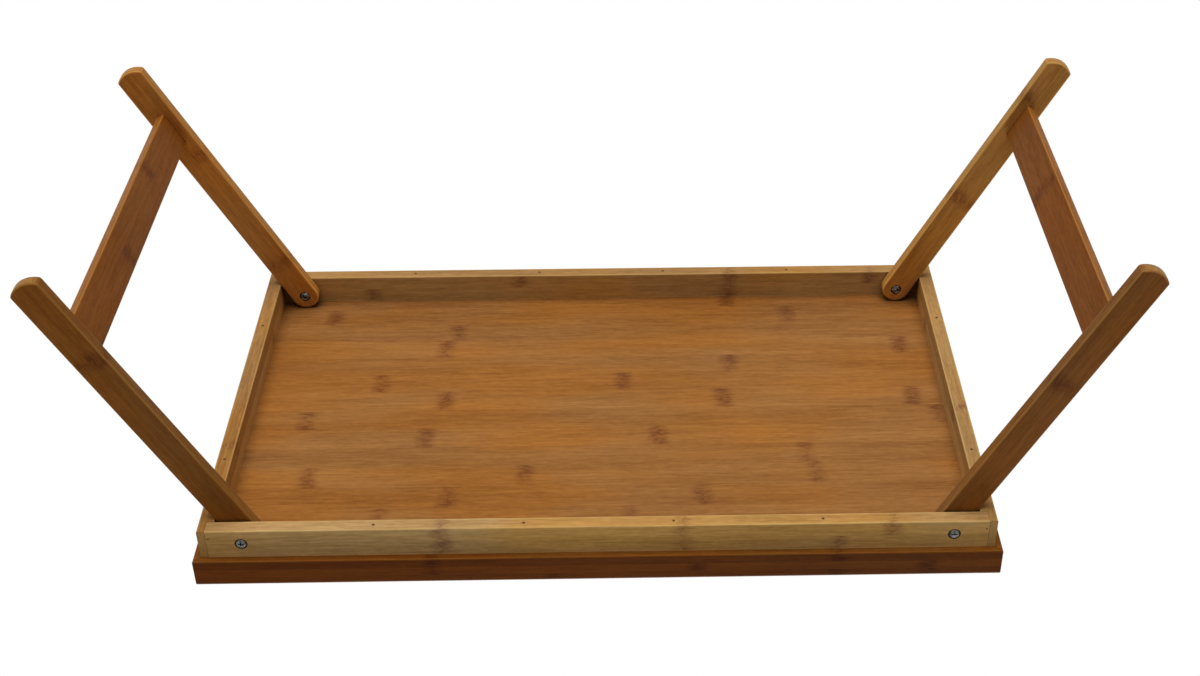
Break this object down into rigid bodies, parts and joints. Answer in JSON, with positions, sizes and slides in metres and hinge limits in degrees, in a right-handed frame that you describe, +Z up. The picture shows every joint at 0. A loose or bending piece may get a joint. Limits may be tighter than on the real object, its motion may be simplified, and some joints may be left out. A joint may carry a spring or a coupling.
{
  "type": "bed tray table",
  "caption": "Folding bed tray table in bamboo: a shallow rimmed tray on an apron frame, with two leg pairs that fold inwards under it.",
  "frame": {"origin": "on the floor under the middle of the tray, at the bottom centre of the overall box", "axes": "+X along the tray's length, +Y towards its back, +Z up"},
  "size_m": [0.6516, 0.3, 0.2153],
  "materials": {
    "bamboo_rim": "satin lacquer over caramel bamboo",
    "bamboo_panel": "satin lacquer over caramel bamboo",
    "bamboo_apron": "satin lacquer over caramel bamboo",
    "bamboo_leg": "satin lacquer over caramel bamboo",
    "bamboo_crossbar": "satin lacquer over caramel bamboo",
    "dowel_wood": "plain turned wood",
    "steel": "zinc plated"
  },
  "bodies": {
    "tray": {"rim_front": "bamboo_rim", "rim_back": "bamboo_rim", "rim_left": "bamboo_rim", "rim_right": "bamboo_rim", "tray_panel": "bamboo_panel", "apron_front": "bamboo_apron", "apron_back": "bamboo_apron", "apron_left": "bamboo_apron", "apron_right": "bamboo_apron", "apron_brads": "steel", "corner_brads": "steel", "pivot_bolts": "steel", "pivot_nuts": "steel", "pivot_washers": "steel"},
    "left_legs": {"leg_left_front": "bamboo_leg", "leg_left_back": "bamboo_leg", "crossbar_left": "bamboo_crossbar", "crossbar_dowels_left": "dowel_wood"},
    "right_legs": {"leg_right_front": "bamboo_leg", "leg_right_back": "bamboo_leg", "crossbar_right": "bamboo_crossbar", "crossbar_dowels_right": "dowel_wood"}
  },
  "joints": [
    {"name": "left_leg_fold", "type": "hinge", "parent": "tray", "child": "left_legs", "pos_m": [-0.2192, 0, 0.18533], "axis": [0, -1, 0], "range_deg": [0, 118.5]},
    {"name": "right_leg_fold", "type": "hinge", "parent": "tray", "child": "right_legs", "pos_m": [0.2192, 0, 0.18533], "axis": [0, 1, 0], "range_deg": [0, 118.5]}
  ]
}
